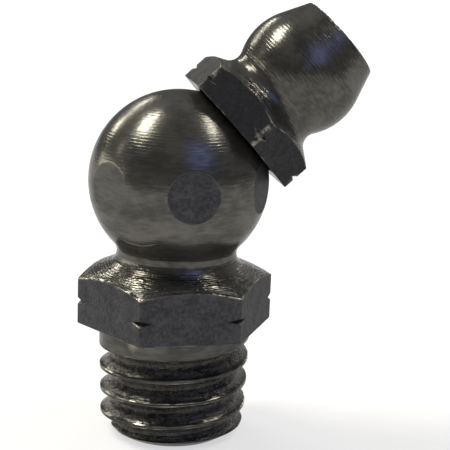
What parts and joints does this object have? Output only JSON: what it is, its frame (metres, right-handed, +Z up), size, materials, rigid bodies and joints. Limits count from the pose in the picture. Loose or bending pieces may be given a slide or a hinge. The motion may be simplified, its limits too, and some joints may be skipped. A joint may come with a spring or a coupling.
{
  "type": "grease nipple",
  "caption": "Ball-elbow grease nipple: tapered threaded shank under a hexagon, a turned ball, and a leaning hexagon nipple whose mouth a sprung ball closes.",
  "frame": {"origin": "on the thread's axis, in the plane of the hexagon's underside", "axes": "+Z up along the thread's axis, so -Z is the way it screws in; the nipple leans towards +X, over a corner of the body's hexagon; Y is across the lean"},
  "size_m": [0.0151, 0.009, 0.0229],
  "materials": {
    "body_steel": "turned, dark and lightly oiled",
    "nipple_steel": "turned, dark and lightly oiled",
    "ball_steel": "polished",
    "spring_steel": "drawn wire"
  },
  "bodies": {
    "nipple": {"elbow_body": "body_steel", "nipple_head": "nipple_steel", "spring": "spring_steel"},
    "valve": {"check_ball": "ball_steel"}
  },
  "joints": [
    {"name": "valve_open", "type": "slide", "parent": "nipple", "child": "valve", "axis": [-0.7431, 0, -0.6691], "range_m": [0, 0.001], "stiffness_N_per_m": 1650, "deforming": ["spring"]}
  ]
}
